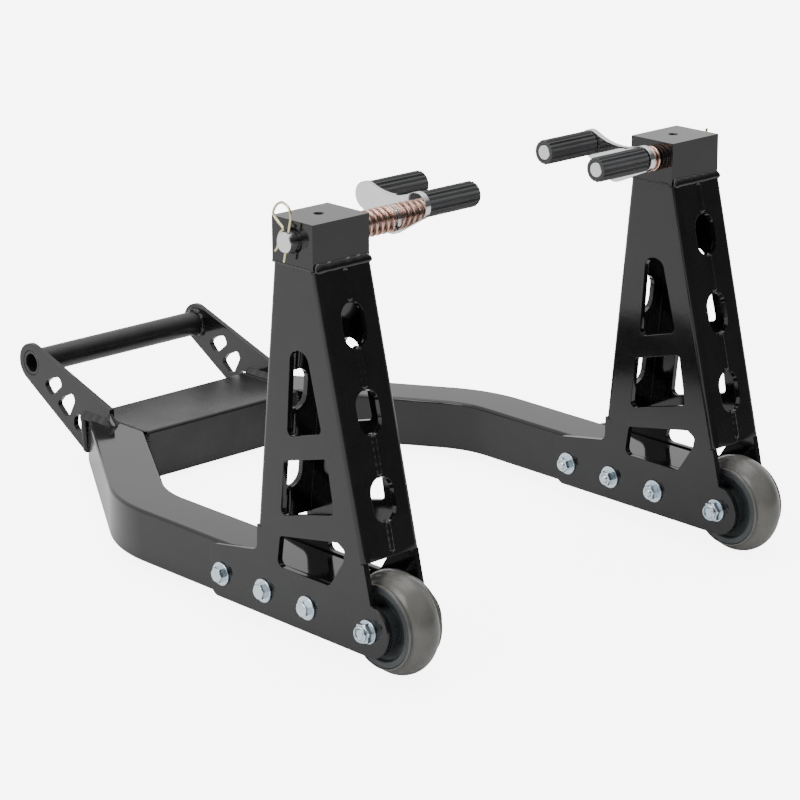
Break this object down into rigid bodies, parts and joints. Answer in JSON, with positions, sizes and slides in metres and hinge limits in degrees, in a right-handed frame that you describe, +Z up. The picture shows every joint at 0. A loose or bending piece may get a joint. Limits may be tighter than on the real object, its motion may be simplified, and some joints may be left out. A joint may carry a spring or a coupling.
{
  "type": "paddock stand",
  "caption": "Gloss black steel front paddock stand with sprung swivelling fork pegs on its uprights and small wheels",
  "frame": {"origin": "middle of the footprint, on the floor", "axes": "+X to the stand's right side, +Y from the wheels to the handle, +Z up"},
  "size_m": [0.4149, 0.5761, 0.3144],
  "materials": {
    "frame_paint": "gloss",
    "handle_paint": "satin",
    "zinc": "satin",
    "carrier_steel": "gloss",
    "copper": "gloss",
    "clip_steel": "satin",
    "tyre": "satin",
    "hub_plastic": "matte",
    "sleeve_rubber": "satin"
  },
  "bodies": {
    "frame": {"left_rail": "frame_paint", "right_rail": "frame_paint", "crossbar": "frame_paint", "left_handle_arm": "frame_paint", "right_handle_arm": "frame_paint", "handle_tube": "handle_paint", "left_upright_outer": "frame_paint", "left_upright_inner": "frame_paint", "left_head_block": "frame_paint", "left_frame_bolt_1": "zinc", "left_frame_bolt_2": "zinc", "left_frame_bolt_3": "zinc", "left_frame_nut_1": "zinc", "left_frame_nut_2": "zinc", "left_frame_nut_3": "zinc", "left_axle_sleeve": "zinc", "left_axle_bolt": "zinc", "left_axle_nut": "zinc", "right_upright_outer": "frame_paint", "right_upright_inner": "frame_paint", "right_head_block": "frame_paint", "right_frame_bolt_1": "zinc", "right_frame_bolt_2": "zinc", "right_frame_bolt_3": "zinc", "right_frame_nut_1": "zinc", "right_frame_nut_2": "zinc", "right_frame_nut_3": "zinc", "right_axle_sleeve": "zinc", "right_axle_bolt": "zinc", "right_axle_nut": "zinc"},
    "left_wheel": {"left_tyre": "tyre", "left_wheel_hub": "hub_plastic"},
    "left_slider": {"left_spring": "copper", "left_spring_washer": "carrier_steel"},
    "left_carrier": {"left_spindle": "carrier_steel", "left_fork_plate": "carrier_steel", "left_front_peg_pin": "carrier_steel", "left_rear_peg_pin": "carrier_steel", "left_front_peg_sleeve": "sleeve_rubber", "left_rear_peg_sleeve": "sleeve_rubber", "left_r_clip": "clip_steel"},
    "right_wheel": {"right_tyre": "tyre", "right_wheel_hub": "hub_plastic"},
    "right_slider": {"right_spring": "copper", "right_spring_washer": "carrier_steel"},
    "right_carrier": {"right_spindle": "carrier_steel", "right_fork_plate": "carrier_steel", "right_front_peg_pin": "carrier_steel", "right_rear_peg_pin": "carrier_steel", "right_front_peg_sleeve": "sleeve_rubber", "right_rear_peg_sleeve": "sleeve_rubber", "right_r_clip": "clip_steel"}
  },
  "joints": [
    {"name": "left_wheel_spin", "type": "hinge", "parent": "frame", "child": "left_wheel", "pos_m": [-0.1735, -0.25173, 0.0365], "axis": [1, 0, 0], "continuous": true},
    {"name": "left_carrier_slide", "type": "slide", "parent": "frame", "child": "left_slider", "axis": [-1, 0, 0], "range_m": [0, 0.02], "stiffness_N_per_m": 2000, "deforming": ["left_spring"]},
    {"name": "left_carrier_swivel", "type": "hinge", "parent": "left_slider", "child": "left_carrier", "pos_m": [-0.13, -0.17231, 0.28771], "axis": [1, 0, 0], "continuous": true},
    {"name": "right_wheel_spin", "type": "hinge", "parent": "frame", "child": "right_wheel", "pos_m": [0.1735, -0.25173, 0.0365], "axis": [1, 0, 0], "continuous": true},
    {"name": "right_carrier_slide", "type": "slide", "parent": "frame", "child": "right_slider", "axis": [1, 0, 0], "range_m": [0, 0.02], "stiffness_N_per_m": 2000, "deforming": ["right_spring"]},
    {"name": "right_carrier_swivel", "type": "hinge", "parent": "right_slider", "child": "right_carrier", "pos_m": [0.13, -0.17231, 0.28771], "axis": [1, 0, 0], "continuous": true}
  ]
}
